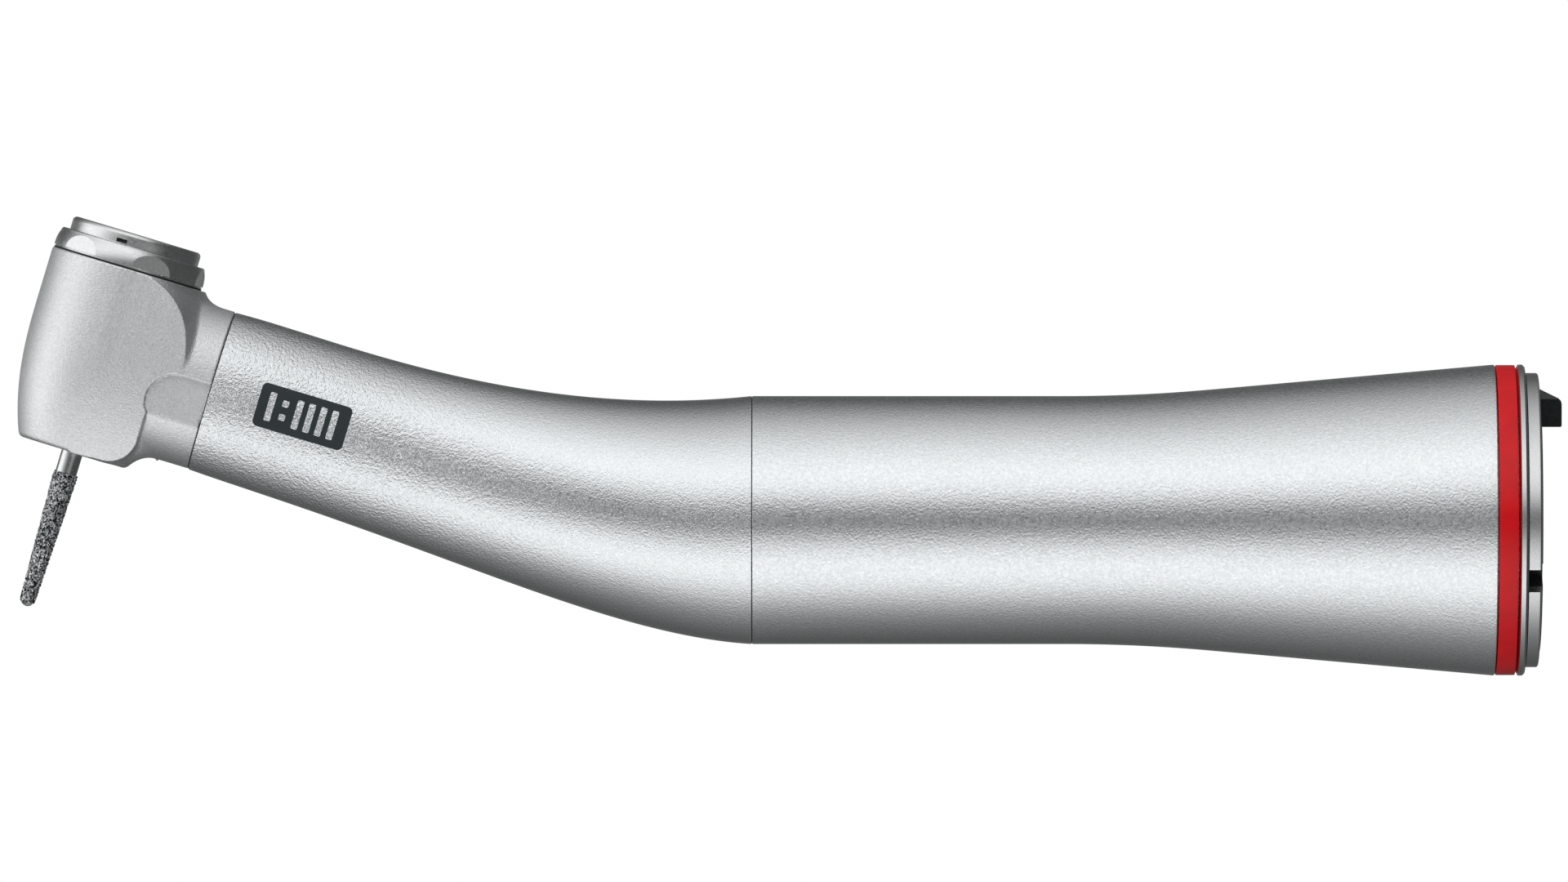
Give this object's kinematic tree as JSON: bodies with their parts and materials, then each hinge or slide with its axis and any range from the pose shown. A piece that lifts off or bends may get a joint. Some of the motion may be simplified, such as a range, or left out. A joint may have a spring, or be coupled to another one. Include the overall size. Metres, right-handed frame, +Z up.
{
  "type": "contra-angle dental handpiece",
  "caption": "Electric-motor contra-angle dental handpiece: bent satin metal body, push-button chuck head with a diamond bur, step-up bevel gears and a bayonet-free rear coupling bore.",
  "frame": {"origin": "centre of the rear coupling face, on the handle axis", "axes": "+X along the handle axis out of the rear coupling, towards the motor; +Z up, the way the head rises from the bend; Y across, with the object symmetric about the XZ plane except for small parts"},
  "size_m": [0.0995, 0.02, 0.0296],
  "materials": {
    "satin_metal": "micro-blasted satin steel",
    "cap_metal": "turned satin steel, smoother than the head",
    "neck_metal": "micro-blasted satin with a fine hammered grain",
    "handle_metal": "micro-blasted satin with a fine grain",
    "ring_metal": "fine turned satin steel",
    "red_ring": "smooth red anodised or lacquered band",
    "black_plastic": "moulded black engineering plastic",
    "black_rubber": "matt black rubber",
    "bearing_steel": "ground bearing steel",
    "ball_ceramic": "polished dark ceramic balls",
    "tube_steel": "drawn stainless tube",
    "glass_rod": "clear optical glass",
    "spring_steel": "hard drawn spring wire",
    "shaft_steel": "ground tool steel",
    "gear_steel": "hobbed and lapped gear steel",
    "bur_steel": "ground stainless shank",
    "diamond_grit": "nickel-bonded diamond grit"
  },
  "bodies": {
    "housing": {"head_housing": "satin_metal", "nose_seal": "black_rubber", "cap_seal": "black_rubber", "head_cap": "cap_metal", "preload_washer": "bearing_steel", "spindle_outer_races": "bearing_steel", "neck_tube": "tube_steel", "neck_outer_races": "bearing_steel", "neck_retaining_nut": "bearing_steel", "front_sheath": "neck_metal", "tube_clip": "tube_steel", "light_guide": "glass_rod", "light_lens": "glass_rod", "water_tube": "tube_steel", "air_tube": "tube_steel", "sheath_joint_ring": "tube_steel", "rear_tube": "tube_steel", "main_outer_races": "bearing_steel", "rear_tube_clip": "tube_steel", "main_retaining_nut": "bearing_steel", "rear_sheath": "handle_metal", "colour_ring": "red_ring", "coupling_body": "ring_metal", "sheath_o_rings": "black_rubber", "coupling_gasket": "black_rubber", "coupling_ring": "ring_metal", "coupling_sleeve": "black_plastic", "locating_lug": "black_plastic", "button_spring": "spring_steel"},
    "push_button": {"button_cap": "cap_metal", "button_plunger": "shaft_steel"},
    "spindle": {"spindle_sleeve": "shaft_steel", "chuck_collet": "shaft_steel", "spindle_inner_races": "bearing_steel", "spindle_balls": "ball_ceramic"},
    "bur": {"bur_core": "bur_steel", "bur_diamond": "diamond_grit"},
    "neck_drive": {"neck_shaft": "shaft_steel", "crown_gear": "gear_steel", "neck_pinion": "gear_steel", "neck_inner_races": "bearing_steel", "neck_balls": "ball_ceramic"},
    "main_drive": {"main_shaft": "shaft_steel", "ring_gear": "gear_steel", "drive_dog": "shaft_steel", "main_inner_races": "bearing_steel", "main_balls": "ball_ceramic"}
  },
  "joints": [
    {"name": "main_shaft_spin", "type": "hinge", "parent": "housing", "child": "main_drive", "pos_m": [-0.05792, 0, 0], "axis": [1, 0, 0], "continuous": true},
    {"name": "neck_shaft_spin", "type": "hinge", "parent": "housing", "child": "neck_drive", "pos_m": [-0.05792, 0, 0], "axis": [0.9573, 0, -0.289], "continuous": true},
    {"name": "spindle_spin", "type": "hinge", "parent": "housing", "child": "spindle", "pos_m": [-0.09266, 0, 0.01049], "axis": [0.289, 0, 0.9573], "continuous": true},
    {"name": "bur_pull", "type": "slide", "parent": "spindle", "child": "bur", "axis": [-0.289, 0, -0.9573], "range_m": [0, 0.0105]},
    {"name": "button_press", "type": "slide", "parent": "housing", "child": "push_button", "axis": [-0.289, 0, -0.9573], "range_m": [0, 0.0006], "stiffness_N_per_m": 8000, "springref_m": -0.0005, "deforming": ["button_spring"]}
  ],
  "couplings": [
    {"joint": "neck_shaft_spin", "follows": "main_shaft_spin", "ratio": 2.6667},
    {"joint": "spindle_spin", "follows": "main_shaft_spin", "ratio": -4}
  ]
}
